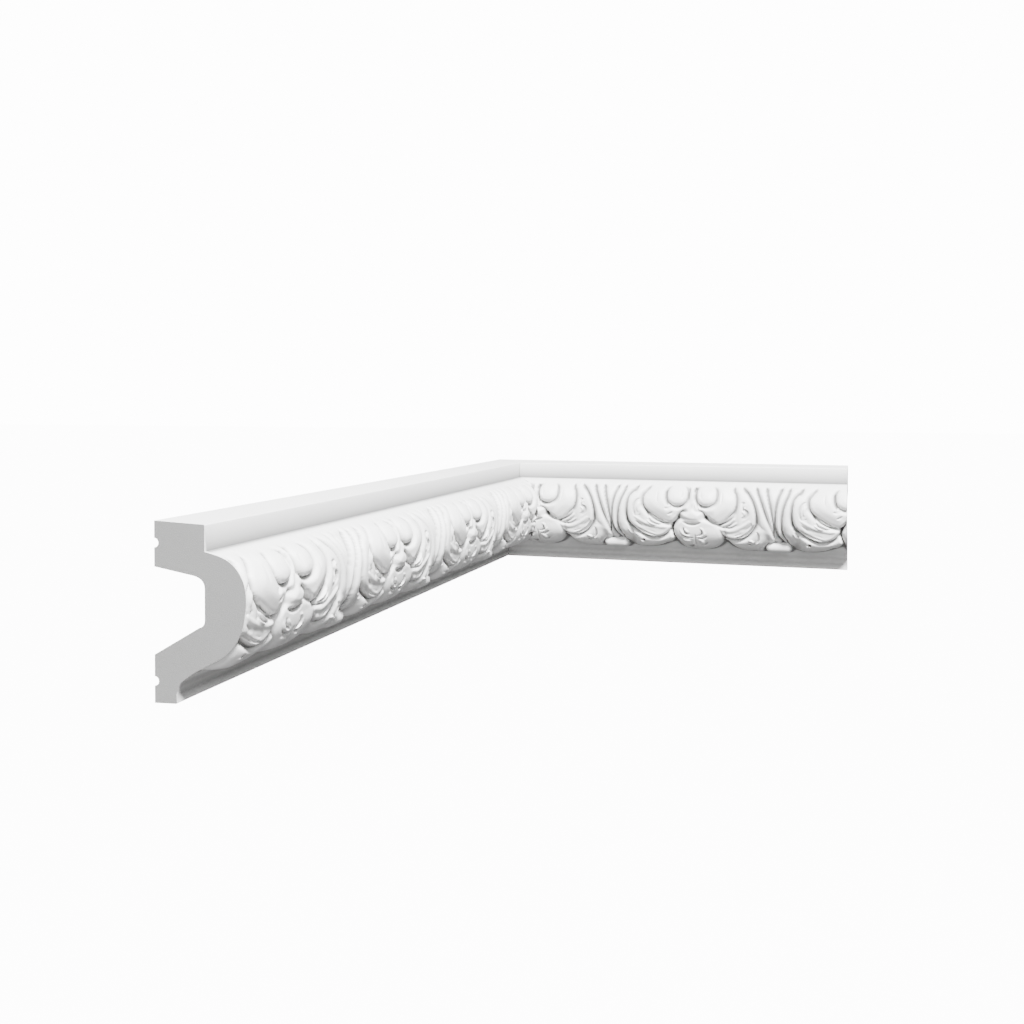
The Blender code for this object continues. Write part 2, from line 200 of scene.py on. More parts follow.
@dataclass(frozen=True)
class Section:
    """The moulding's section, as (depth from the wall, height above the bottom)."""

    top_front: Point = (0.313, 0.987)
    bottom_front: Point = (0.138, 0.0045)
    arris: float = 0.007
    bulge: tuple[Point, ...] = (
        (0.313, 0.841), (0.377, 0.826), (0.428, 0.810), (0.470, 0.787), (0.512, 0.748), (0.541, 0.702),
        (0.557, 0.656), (0.564, 0.594), (0.560, 0.532), (0.549, 0.462), (0.533, 0.415), (0.500, 0.352),
        (0.422, 0.277), (0.252, 0.184), (0.166, 0.123), (0.145, 0.084), (0.136, 0.057),
    )
    cove: tuple[Point, ...] = (
        (0.470, 0.440), (0.398, 0.350), (0.346, 0.275), (0.262, 0.192),
        (0.166, 0.123), (0.145, 0.084), (0.136, 0.057),
    )
    cove_set_back: float = 0.07
    groove_heights: Span = (0.121, 0.879)
    groove_radius: float = 0.026
    groove_sides: int = 12
    channel_foot: float = 0.266
    channel_head: float = 0.748
    channel_depth: float = 0.313
    channel_corners: tuple[tuple[Point, Point], ...] = (
        ((0.279, 0.428), (0.313, 0.470)), ((0.313, 0.640), (0.245, 0.708)),
    )
    channel_pull: float = 0.2
    corner_steps: int = 8
    toe_top: float = 0.16
    toe_rows: float = 0.4
    ledge_foot: float = 0.80
    ledge_rows: float = 0.5

    def front(self, z: Grid) -> Grid:
        """Depth of the plain bulge at a height."""
        line = smooth_line(self.bulge, SECTION_STEPS)[::-1]
        return np.interp(z, line[:, 1], line[:, 0])

    def behind(self, z: Grid) -> Grid:
        """Find the plain cove that the carving hangs over.

        Args:
            z: Heights.

        Returns:
            The cove's depth, and above its top a depth a little behind the bulge.
        """
        line = smooth_line(self.cove, SECTION_STEPS)[::-1]
        front = self.front(z)
        cove = np.minimum(np.interp(z, line[:, 1], line[:, 0]), front)
        return np.where(z > self.cove[0][1], front - self.cove_set_back, cove)

    def relief_heights(self, rows: int) -> Grid:
        """Space the carved rows around the bulge, closer over the carving than by the ledge and the toe.

        Args:
            rows: Bands between the ledge's foot and the toe.

        Returns:
            The rows' heights from the top down.
        """
        line = smooth_line(self.bulge, SECTION_STEPS)
        steps = np.hypot(*np.diff(line, axis=0).T)
        steps = steps * np.where(line[1:, 1] > self.toe_top, 1.0, self.toe_rows)
        steps = steps * np.where(line[1:, 1] < self.ledge_foot, 1.0, self.ledge_rows)
        travelled = np.concatenate([[0], np.cumsum(steps)])
        return np.interp(np.linspace(0, travelled[-1], rows + 1), travelled, line[:, 1])

    def rounded(self, start: Point, end: Point, corner: Point) -> list[Point]:
        """Round off a corner of the outline.

        Args:
            start: Where the rounding starts.
            end: Where it ends.
            corner: The sharp corner that it takes off.

        Returns:
            The rounding's points, both ends with them.
        """
        points = []
        for step in range(self.corner_steps + 1):
            t = step / self.corner_steps
            pull = 2 * t * (1 - t)
            bent = ((1 - t) ** 2 * a + pull * b + t**2 * c for a, b, c in zip(start, corner, end))
            points.append(tuple(bent))
        return points

    def channel(self) -> list[Point]:
        """Trace the hollow channel of the back.

        Returns:
            Points from its foot to its head.
        """
        (start, end), (top_start, top_end) = self.channel_corners
        low = start[1] + self.channel_pull * (end[1] - start[1])
        high = top_end[1] - self.channel_pull * (top_end[1] - top_start[1])
        points = [(0.0, self.channel_foot)]
        points += self.rounded(start, end, (self.channel_depth, low))
        points += self.rounded(top_start, top_end, (self.channel_depth, high))
        return points + [(0.0, self.channel_head)]

    def plain_outline(self) -> list[Point]:
        """Trace the plain part of the section.

        Returns:
            Points from the bottom's front edge around the back, with its grooves and channel, to the
            ledge's top front edge.
        """
        toe_x, toe_z = self.bottom_front
        outline = self.rounded((toe_x, toe_z + self.arris), (toe_x - self.arris, toe_z), (toe_x, toe_z))
        outline += [(0.0, 0.0)]
        for height in self.groove_heights:
            if height > self.channel_head:
                outline += self.channel()
            for side in range(self.groove_sides + 1):
                angle = pi * side / self.groove_sides
                outline.append((self.groove_radius * sin(angle), height - self.groove_radius * cos(angle)))
        top_x, top_z = self.top_front
        outline += [(0.0, 1.0)]
        outline += self.rounded((top_x - self.arris, top_z), (top_x, top_z - self.arris), (top_x, top_z))
        return outline


@dataclass(frozen=True)
class Fold:
    """A rounded ridge, or a groove where rise is negative, along a bent line of the carving."""

    start: Point
    bend: Point
    end: Point
    width: float
    rise: float
    taper: float = 0.35
    least_taper: float = 0.25

    def added(self, u: Grid, z: Grid) -> Grid:
        """Measure what the fold adds to the surface.

        Args:
            u: Places along the run.
            z: Heights.

        Returns:
            The depth added, 0 away from the fold.
        """
        t = np.linspace(0, 1, FOLD_STEPS + 1)[:, None]
        start, bend, end = (np.array(point) for point in (self.start, self.bend, self.end))
        line = (1 - t) ** 2 * start + 2 * t * (1 - t) * bend + t**2 * end
        near = np.full(u.shape, FAR)
        share = np.zeros(u.shape)
        for index, (a, b) in enumerate(zip(line, line[1:])):
            gap, part = near_segment(u, z, a, b)
            nearer = gap < near
            near = np.where(nearer, gap, near)
            share = np.where(nearer, (index + part) / FOLD_STEPS, share)
        fade = np.maximum(4 * share * (1 - share), 0) ** self.taper
        return self.rise * fade * hump(near / np.maximum(fade, self.least_taper), 0, self.width) ** 2


@dataclass(frozen=True)
class Outline:
    """The closed edge of one carved form."""

    points: tuple[Point, ...]

    def inside(self, u: Grid, z: Grid) -> Grid:
        """Measure how far points lie inside the edge.

        Args:
            u: Places along the run.
            z: Heights.

        Returns:
            The distance from the edge, negative outside.
        """
        line = smooth_line(self.points, OUTLINE_STEPS, closed=True)
        near = np.full(u.shape, FAR)
        within = np.zeros(u.shape, bool)
        for start, end in zip(line, np.roll(line, -1, axis=0)):
            near = np.minimum(near, near_segment(u, z, start, end)[0])
            rise = end[1] - start[1]
            if abs(rise) > TINY:
                crosses = (start[1] > z) != (end[1] > z)
                within ^= crosses & (u < start[0] + (z - start[1]) / rise * (end[0] - start[0]))
        return np.where(within, near, -near)


@dataclass(frozen=True)
class Edge:
    """How a form's edge is rounded, how steeply it falls outside, and how it melts into what lies below."""

    rounding: float
    wall: float = 5.0
    softness: float = 0.006


@dataclass(frozen=True)
class Swell:
    """How a form's face rises, or sinks where rise is negative, from start to full inside its edge."""

    rise: float
    start: float
    full: float

    def over(self, inside: Grid) -> Grid:
        """Height of the swell at some distances inside the edge."""
        return self.rise * ramp(inside, self.start, self.full)


@dataclass
class Surface:
    """The carved surface of one unit while its forms are laid over each other; front is the plain bulge."""

    u: Grid
    z: Grid
    depth: Grid
    front: Grid
    seam_depth: float = 0.042
    seam_shift: float = 0.3

    def seam(self, inside: Grid, width: float = 0.025) -> None:
        """Sink a fine groove just outside an edge."""
        self.depth = self.depth - self.seam_depth * np.exp(-((inside / width + self.seam_shift) ** 2))

    def lay(self, inside: Grid, level: Grid, edge: Edge) -> None:
        """Lay a form over the surface.

        Args:
            inside: How far each point lies inside the form's edge.
            level: The form's surface.
            edge: How the form meets what it lies on.
        """
        out = np.clip(1 - inside / edge.rounding, 0, 1)
        top = level - edge.rounding * (1 - np.sqrt(1 - out**2))
        form = np.where(inside > 0, top, level - edge.rounding + edge.wall * inside)
        self.depth = melt(self.depth, form, edge.softness)

    def fold(self, folds: tuple[Fold, ...], strength: float = 1.0) -> Grid:
        """Add up the folds of one form."""
        return strength * sum(fold.added(self.u, self.z) for fold in folds)


LOW_FANS = (
    Outline(((.67, .95), (.70, .78), (.72, .68), (.74, .58), (.757, .48), (.77, .40), (.78, .34),
             (.785, .29), (.74, .24), (.60, .22), (.45, .35), (.42, .60), (.40, .95))),
    Outline(((-.68, .95), (-.70, .80), (-.735, .71), (-.76, .61), (-.77, .51), (-.765, .43), (-.745, .36),
             (-.71, .31), (-.66, .26), (-.52, .25), (-.42, .40), (-.42, .60), (-.40, .95))),
)
FANS = (
    Outline(((.57, .95), (.61, .77), (.64, .69), (.672, .60), (.70, .52), (.735, .43), (.765, .35),
             (.780, .30), (.76, .265), (.70, .235), (.60, .22), (.45, .35), (.42, .60), (.40, .95))),
    Outline(((-.58, .95), (-.64, .745), (-.675, .66), (-.70, .57), (-.71, .47), (-.705, .40), (-.685, .34),
             (-.65, .295), (-.60, .26), (-.50, .25), (-.42, .40), (-.42, .60), (-.40, .95))),
)
LOW_LEAVES = (
    Outline(((.315, .318), (.36, .284), (.405, .239), (.46, .206), (.53, .188), (.60, .190), (.66, .186),
             (.71, .206), (.745, .256), (.765, .312), (.73, .392), (.60, .484), (.45, .517), (.34, .404))),
    Outline(((-.175, .335), (-.165, .301), (-.20, .269), (-.26, .248), (-.32, .222), (-.40, .203),
             (-.50, .198), (-.58, .202), (-.63, .222), (-.655, .267), (-.665, .335), (-.64, .450),
             (-.50, .517), (-.30, .450), (-.20, .392))),
)
CRESCENTS = (
    Outline(((.42, .950), (.49, .778), (.535, .728), (.575, .663), (.600, .583), (.608, .506), (.598, .438),
             (.56, .375), (.50, .329), (.43, .308), (.36, .315), (.30, .352), (.262, .398), (.235, .450),
             (.22, .539), (.22, .950))),
    Outline(((-.44, .950), (-.52, .764), (-.565, .728), (-.600, .681), (-.615, .594), (-.612, .506),
             (-.59, .444), (-.54, .392), (-.46, .341), (-.38, .310), (-.30, .318), (-.235, .352),
             (-.197, .398), (-.185, .450), (-.18, .539), (-.18, .950))),
)
LOBES = (
    Outline(((.38, .950), (.40, .771), (.418, .728), (.428, .672), (.422, .616), (.402, .567), (.35, .511),
             (.30, .469), (.25, .444), (.20, .447), (.163, .481), (.145, .528), (.10, .572), (-.02, .594),
             (-.03, .950))),
    Outline(((-.34, .950), (-.39, .793), (-.425, .743), (-.455, .700), (-.460, .644), (-.445, .600),
             (-.41, .561), (-.35, .519), (-.28, .478), (-.22, .453), (-.17, .459), (-.135, .489),
             (-.12, .528), (-.08, .572), (.0, .594), (.01, .950))),
)
BOSSES = (
    Outline(((.060, .71), (.064, .76), (.094, .798), (.150, .814), (.207, .798), (.238, .76), (.241, .70),
             (.226, .655), (.190, .628), (.145, .619), (.098, .630), (.070, .665))),
    Outline(((-.035, .71), (-.040, .76), (-.070, .798), (-.127, .814), (-.182, .798), (-.216, .76),
             (-.224, .70), (-.208, .655), (-.172, .626), (-.127, .617), (-.080, .630), (-.047, .665))),
)
LIP = Outline(((-.018, .74), (-.032, .66), (-.070, .605), (-.120, .565), (-.128, .515), (-.105, .457),
               (-.05, .422), (.02, .410), (.08, .416), (.13, .447), (.152, .515), (.145, .570),
               (.095, .610), (.056, .66), (.044, .74)))
BUD = Outline(((-.06, .522), (-.13, .489), (-.168, .438), (-.175, .381), (-.158, .318), (-.125, .267),
               (-.09, .222), (-.04, .192), (.05, .180), (.13, .183), (.19, .198), (.25, .231), (.298, .284),
               (.318, .346), (.302, .409), (.255, .455), (.19, .489), (.12, .515), (.03, .522)))
LEAF_PROFILE = (
    (.320, .165), (.372, .185), (.432, .215), (.480, .26), (.508, .30), (.526, .34), (.542, .40), (.549, .48),
)
BUD_PROFILE = ((.470, .530), (.545, .48), (.538, .41), (.522, .34), (.492, .28), (.440, .22), (.360, .18))

UPPER_FOLDS = (
    Fold((.012, .800), (.012, .700), (.018, .594), .026, .012),
    Fold((-.016, .790), (-.014, .735), (-.022, .663), .015, -.020),
    Fold((.040, .790), (.038, .700), (.072, .575), .016, -.024),
    Fold((.104, .758), (.082, .728), (.108, .683), .014, -.008),
    Fold((-.090, .758), (-.064, .736), (-.086, .690), .013, -.010),
    Fold((-.236, .755), (-.242, .690), (-.216, .605), .020, -.022),
    Fold((-.245, .598), (-.214, .583), (-.188, .610), .022, -.020),
    Fold((-.218, .535), (-.196, .535), (-.172, .562), .013, -.014),
    Fold((.296, .753), (.302, .707), (.290, .644), .013, -.009),
    Fold((-.318, .753), (-.326, .707), (-.318, .649), .013, -.008),
)
CRESCENT_FOLDS = (
    Fold((.575, .473), (.565, .398), (.415, .337), .014, -.017),
    Fold((.592, .455), (.565, .352), (.405, .310), .013, -.018),
    Fold((-.535, .461), (-.460, .387), (-.345, .352), .013, -.014),
    Fold((-.548, .417), (-.450, .341), (-.325, .319), .012, -.014),
    Fold((.285, .399), (.42, .352), (.560, .489), .034, .012),
    Fold((-.225, .409), (-.38, .387), (-.545, .506), .032, .010),
    Fold((.262, .461), (.340, .478), (.408, .552), .015, .014),
    Fold((.300, .438), (.368, .450), (.418, .506), .013, .013),
    Fold((.350, .427), (.400, .429), (.440, .470), .012, .010),
    Fold((.275, .443), (.352, .456), (.412, .528), .010, -.014),
    Fold((.320, .427), (.382, .436), (.430, .486), .010, -.014),
    Fold((.270, .424), (.385, .398), (.438, .450), .010, -.014),
    Fold((-.238, .455), (-.320, .473), (-.395, .541), .015, .013),
    Fold((-.280, .438), (-.345, .450), (-.408, .504), .013, .012),
    Fold((-.330, .427), (-.375, .429), (-.425, .470), .012, .010),
    Fold((-.255, .440), (-.330, .456), (-.402, .521), .010, -.013),
    Fold((-.300, .427), (-.358, .436), (-.415, .484), .010, -.013),
    Fold((.512, .663), (.445, .635), (.505, .583), .020, -.026),
    Fold((.512, .605), (.572, .539), (.468, .497), .021, -.027),
    Fold((.528, .644), (.482, .621), (.535, .594), .012, .008),
    Fold((.490, .578), (.530, .544), (.480, .522), .014, .008),
    Fold((-.495, .681), (-.590, .616), (-.535, .506), .016, -.018),
    Fold((-.480, .644), (-.530, .605), (-.505, .550), .018, .008),
    Fold((-.502, .524), (-.490, .517), (-.478, .519), .014, -.022),
    Fold((-.445, .600), (-.415, .528), (-.388, .463), .014, -.010),
)
LEAF_FOLDS = (
    Fold((.622, .385), (.655, .320), (.612, .272), .016, -.026),
    Fold((.612, .272), (.575, .245), (.540, .262), .013, -.018),
    Fold((.545, .295), (.575, .300), (.590, .275), .016, .012),
    Fold((.700, .285), (.668, .250), (.632, .205), .012, -.018),
    Fold((.728, .265), (.700, .225), (.668, .192), .012, -.016),
    Fold((.715, .278), (.684, .238), (.650, .200), .011, .008),
    Fold((-.594, .384), (-.575, .362), (-.562, .338), .016, -.026),
    Fold((-.612, .380), (-.598, .350), (-.582, .330), .012, .008),
    Fold((-.482, .273), (-.465, .267), (-.448, .266), .018, -.026),
    Fold((-.500, .262), (-.48, .250), (-.46, .252), .012, .007),
)
BUD_FOLDS = (
    Fold((-.072, .409), (-.070, .346), (-.010, .344), .016, -.020),
    Fold((.098, .395), (.125, .341), (.062, .326), .016, -.020),
    Fold((-.100, .346), (-.060, .303), (.020, .308), .013, -.016),
    Fold((.155, .335), (.130, .290), (.060, .308), .013, -.016),
    Fold((-.058, .398), (-.050, .369), (-.020, .364), .018, .012),
    Fold((.090, .409), (.118, .392), (.125, .341), .018, .010),
    Fold((-.105, .398), (-.090, .323), (-.010, .326), .014, .010),
    Fold((.145, .369), (.128, .321), (.062, .317), .013, .008),
    Fold((.040, .346), (.038, .278), (.046, .200), .013, -.010),
    Fold((-.040, .225), (-.005, .202), (.026, .236), .026, -.040),
    Fold((-.080, .292), (-.050, .269), (-.005, .276), .022, .012),
    Fold((.075, .290), (.115, .276), (.118, .236), .026, .016),
    Fold((.080, .228), (.140, .236), (.160, .269), .016, -.014),
)
MOATS = (
    Fold((-.112, .519), (-.150, .455), (-.184, .404), .034, -.036),
    Fold((-.172, .438), (-.200, .369), (-.150, .290), .030, -.010),
    Fold((.142, .533), (.165, .484), (.245, .455), .034, -.036),
    Fold((.225, .461), (.305, .444), (.338, .335), .030, -.010),
    Fold((-.075, .463), (.010, .422), (.095, .461), .026, -.024),
)


@dataclass(frozen=True)
class Hollow:
    """The smooth hollow between two fans."""

    across: float = 0.790
    sunk: float = 0.030
    flat: float = 0.01
    flare: float = 0.30
    flare_power: float = 1.3
    foot: float = 0.245
    foot_fall: float = 3.0
    half: float = 0.12
    side_fall: float = 6.0

    def lay(self, surface: Surface) -> None:
        """Lay the hollow, which falls away at its foot and sides.

        Args:
            surface: The unit's surface so far.
        """
        gap = np.abs(from_repeat(surface.u, self.across))
        level = surface.front - self.sunk + self.flare * np.maximum(gap - self.flat, 0) ** self.flare_power
        level = level - self.foot_fall * np.maximum(self.foot - surface.z, 0)
        level = level - self.side_fall * np.maximum(gap - self.half, 0)
        surface.depth = np.maximum(surface.depth, level)


@dataclass(frozen=True)
class Fans:
    """The long leaves of the fans in two layers, each with its level and swell."""

    layers: tuple[tuple[tuple[Outline, ...], float, float], ...] = (
        (LOW_FANS, -0.018, 0.014),
        (FANS, -0.008, 0.016),
    )
    behind_leaves: float = 0.006
    crest: float = 0.038
    crest_half: float = 0.045
    edge: Edge = Edge(0.022)

    def lay(self, surface: Surface, hanging: Grid) -> None:
        """Lay both layers.

        Args:
            surface: The unit's surface so far.
            hanging: Depth of the low leaves' faces.
        """
        face = np.maximum(surface.front, hanging - self.behind_leaves)
        for pair, level, swell in self.layers:
            for outline in pair:
                inside = outline.inside(surface.u, surface.z)
                body = face + level + swell * hump(inside, self.crest, self.crest_half)
                surface.seam(inside)
                surface.lay(inside, body, self.edge)


@dataclass(frozen=True)
class LowLeaves:
    """The pair of low leaves, which hang free of the cove except beside the fans."""

    free_top: float = 0.46
    free_fall: float = 0.08
    free_start: Span = (-0.60, -0.48)
    free_end: float = 0.75
    free_fade: float = 0.12
    swell: Swell = Swell(0.012, 0, 0.10)
    swell_top: float = 0.36
    swell_fall: float = 0.12
    fold_strength: float = 1.4
    edge: Edge = Edge(0.030, 6.0)

    def hanging(self, surface: Surface) -> Grid:
        """Find the leaves' faces.

        Args:
            surface: The unit's surface so far.

        Returns:
            Their depth where they hang free, and the bulge's elsewhere.
        """
        proud = np.maximum(follow(LEAF_PROFILE, surface.z) - surface.front, 0)
        proud = proud * short_of(surface.z, self.free_top, self.free_fall)
        free = ramp(surface.u, *self.free_start)
        return surface.front + proud * free * short_of(surface.u, self.free_end, self.free_fade)

    def lay(self, surface: Surface, hanging: Grid) -> None:
        """Lay both leaves.

        Args:
            surface: The unit's surface so far.
            hanging: Depth of the leaves' faces.
        """
        folds = surface.fold(LEAF_FOLDS, self.fold_strength)
        low = short_of(surface.z, self.swell_top, self.swell_fall)
        free = ramp(surface.u, *self.free_start)
        for outline in LOW_LEAVES:
            inside = outline.inside(surface.u, surface.z)
            surface.lay(inside, hanging + self.swell.over(inside) * low * free + folds, self.edge)


@dataclass(frozen=True)
class Scrolls:
    """The folded crescents and the smooth lobes over them, which lean back towards the ledge."""

    lean_foot: float = 0.60
    lean: float = 1.2
    softness: float = 0.02
    crescent_level: float = 0.535
    crescent_waist: float = 0.45
    crescent_fall: float = 0.10
    crescent_proud: float = 0.008
    crescent_dish: Swell = Swell(-0.006, 0.045, 0.095)
    crescent_edge: Edge = Edge(0.026)
    fold_strength: float = 1.4
    lobe_level: float = 0.545
    lobe_proud: float = 0.002
    lobe_swell: Swell = Swell(0.022, 0, 0.10)
    lobe_edge: Edge = Edge(0.030)

    def lay(self, surface: Surface) -> None:
        """Lay the crescents, then the lobes.

        Args:
            surface: The unit's surface so far.
        """
        lean = self.lean * np.maximum(surface.z - self.lean_foot, 0)
        fall = self.crescent_fall * np.maximum(self.crescent_waist - surface.z, 0)
        level = melt(surface.front, self.crescent_level - fall - lean, self.softness)
        folds = surface.fold(CRESCENT_FOLDS, self.fold_strength)
        for outline in CRESCENTS:
            inside = outline.inside(surface.u, surface.z)
            surface.seam(inside)
            body = level + self.crescent_proud + self.crescent_dish.over(inside) + folds
            surface.lay(inside, body, self.crescent_edge)
        level = melt(surface.front, self.lobe_level - lean, self.softness)
        for outline in LOBES:
            inside = outline.inside(surface.u, surface.z)
            surface.seam(inside)
            surface.lay(inside, level + self.lobe_proud + self.lobe_swell.over(inside), self.lobe_edge)


@dataclass(frozen=True)
class Bosses:
    """The two round bosses, with the stem between them."""

    seam_width: float = 0.024
    proud: float = 0.014
    swell: Swell = Swell(0.018, 0, 0.08)
    edge: Edge = Edge(0.030)

    def lay(self, surface: Surface) -> None:
        """Lay the bosses and fold the surface about them.

        Args:
            surface: The unit's surface so far.
        """
        for outline in BOSSES:
            inside = outline.inside(surface.u, surface.z)
            surface.seam(inside, self.seam_width)
            surface.lay(inside, surface.front + self.proud + self.swell.over(inside), self.edge)
        surface.depth = surface.depth + surface.fold(UPPER_FOLDS)


@dataclass(frozen=True)
class Bud:
    """The bud, the lip that it hangs from and the grooves around it."""

    swell: Swell = Swell(0.012, -0.02, 0.13)
    fold_strength: float = 0.95
    edge: Edge = Edge(0.060)
    lip_level: float = 0.552
    lip_softness: float = 0.02
    lip_sunk: float = 0.030
    lip_swell: Swell = Swell(0.052, 0, 0.10)
    lip_top: float = 0.68
    lip_fall: float = 0.15
    lip_edge: Edge = Edge(0.060, 3.0, 0.034)

    def lay(self, surface: Surface) -> None:
        """Lay the bud, then the lip over it.

        Args:
            surface: The unit's surface so far.
        """
        inside = BUD.inside(surface.u, surface.z)
        body = follow(BUD_PROFILE, surface.z) + self.swell.over(inside)
        surface.lay(inside, body + surface.fold(BUD_FOLDS, self.fold_strength), self.edge)
        inside = LIP.inside(surface.u, surface.z)
        level = melt(surface.front, self.lip_level, self.lip_softness) - self.lip_sunk
        level = level + self.lip_swell.over(inside) * short_of(surface.z, self.lip_top, self.lip_fall)
        surface.lay(inside, level, self.lip_edge)
        surface.depth = surface.depth + surface.fold(MOATS)


@dataclass(frozen=True)
class Pad:
    """The smooth pad with round ends at the foot of two fans."""

    across: float = 0.815
    height: float = 0.232
    half_length: float = 0.074
    radius: float = 0.046
    level: float = 0.435
    edge: Edge = Edge(0.046, 9.0)

    def lay(self, surface: Surface) -> None:
        """Lay the pad.

        Args:
            surface: The unit's surface so far.
        """
        beyond = np.maximum(np.abs(from_repeat(surface.u, self.across)) - self.half_length, 0)
        reach = np.hypot(beyond, surface.z - self.height)
        surface.lay(self.radius - reach, np.full(surface.u.shape, self.level), self.edge)


@dataclass(frozen=True)
class Carving:
    """The carving of one unit: scrolled leaves about a pair of bosses and a bud, over a hollow cove."""

    section: Section = Section()
    hollow: Hollow = Hollow()
    fans: Fans = Fans()
    leaves: LowLeaves = LowLeaves()
    scrolls: Scrolls = Scrolls()
    bosses: Bosses = Bosses()
    bud: Bud = Bud()
    pad: Pad = Pad()
    relief_top: float = 0.828
    relief_full: float = 0.762
    relief_foot: Span = (0.11, 0.15)
    # Blur passes and full depth of the crease mask that paints shade into the seams
    crease_passes: int = 18
    crease_depth: float = 0.016

    def unit(self, columns: int, heights: Grid) -> Grid:
        """Carve one unit.

        Args:
            columns: Stations in the unit.
            heights: Heights of the rows.

        Returns:
            Depth from the wall, one row a station, from half a unit before the bosses' axis.
        """
        places = -REPEAT / 2 + REPEAT * np.arange(columns) / columns
        u, z = np.meshgrid(places, heights, indexing="ij")
        front = self.section.front(z)
        surface = Surface(u, z, self.section.behind(z), front)
        hanging = self.leaves.hanging(surface)
        self.hollow.lay(surface)
        self.fans.lay(surface, hanging)
        self.leaves.lay(surface, hanging)
        for form in (self.scrolls, self.bosses, self.bud, self.pad):
            form.lay(surface)
        share = short_of(z, self.relief_top, self.relief_top - self.relief_full) * ramp(z, *self.relief_foot)
        return front + (surface.depth - front) * share

    def crease_shade_mask(self, depth: Grid) -> Grid:
        """Find how far each point of a unit lies sunk between its neighbours: the mask that paints shade into
        the seams.

        Args:
            depth: The unit's carved depths, one row a station.

        Returns:
            A share, 0 on open faces and 1 at the foot of a seam.
        """
        around = depth
        for _ in range(self.crease_passes):
            around = (np.roll(around, 1, axis=0) + 2 * around + np.roll(around, -1, axis=0)) / 4
            wide = np.pad(around, ((0, 0), (1, 1)), mode="edge")
            around = (wide[:, :-2] + 2 * around + wide[:, 2:]) / 4
        return np.clip((around - depth) / self.crease_depth, 0, 1)


@dataclass(frozen=True)
class PrimedFoam:
    """White primer over cast foam, its tone darkened in the seams by painted shade from a crease mask."""

    name: str
    colour: tuple[float, float, float]
    roughness: float
    grain: float
    grain_scale: float
    mottle: float
    # How much painted shade darkens the tone where the crease mask is full
    painted_crease_shade: float = 0.0
    grain_height: float = 0.0004

    def make(self) -> bpy.types.Material:
        """Make the finish.

        Returns:
            The material, with the shared grain feeding its tone, roughness and normal, and the crease mask
            painting shade into its tone.
        """
        material = bpy.data.materials.new(self.name)
        material.use_nodes = True
        nodes, links = material.node_tree.nodes, material.node_tree.links
        shader = nodes["Principled BSDF"]
        grain = nodes.new("ShaderNodeGroup")
        grain.node_tree = grain_and_painted_shade_group()
        grain.inputs["Scale"].default_value = self.grain_scale
        grain.inputs["Mottle"].default_value = self.mottle
        grain.inputs["Colour"].default_value = (*self.colour, 1.0)
        grain.inputs["Roughness"].default_value = self.roughness
        grain.inputs["Painted Crease Shade"].default_value = self.painted_crease_shade
        # The crease mask, by which the finish paints shade into the seams
        sunk = nodes.new("ShaderNodeAttribute")
        sunk.attribute_name = "crease"
        links.new(sunk.outputs["Fac"], grain.inputs["Crease"])
        bump = nodes.new("ShaderNodeBump")
        bump.inputs["Strength"].default_value = self.grain
        bump.inputs["Distance"].default_value = self.grain_height
        links.new(grain.outputs["Colour"], shader.inputs["Base Color"])
        links.new(grain.outputs["Roughness"], shader.inputs["Roughness"])
        links.new(grain.outputs["Height"], bump.inputs["Height"])
        links.new(bump.outputs["Normal"], shader.inputs["Normal"])
        return material


def add_math(
    tree: bpy.types.NodeTree, operation: str, *values: bpy.types.NodeSocket | float
) -> bpy.types.NodeSocket:
    """Add a sum to a shader tree.

    Args:
        tree: The tree that it goes in.
        operation: The kind of sum.
        values: What goes in, in order: numbers or other nodes' outputs.

    Returns:
        The sum's output.
    """
    node = tree.nodes.new("ShaderNodeMath")
    node.operation = operation
    for socket, value in zip(node.inputs, values):
        if isinstance(value, bpy.types.NodeSocket):
            tree.links.new(value, socket)
        else:
            socket.default_value = value
    return node.outputs[0]


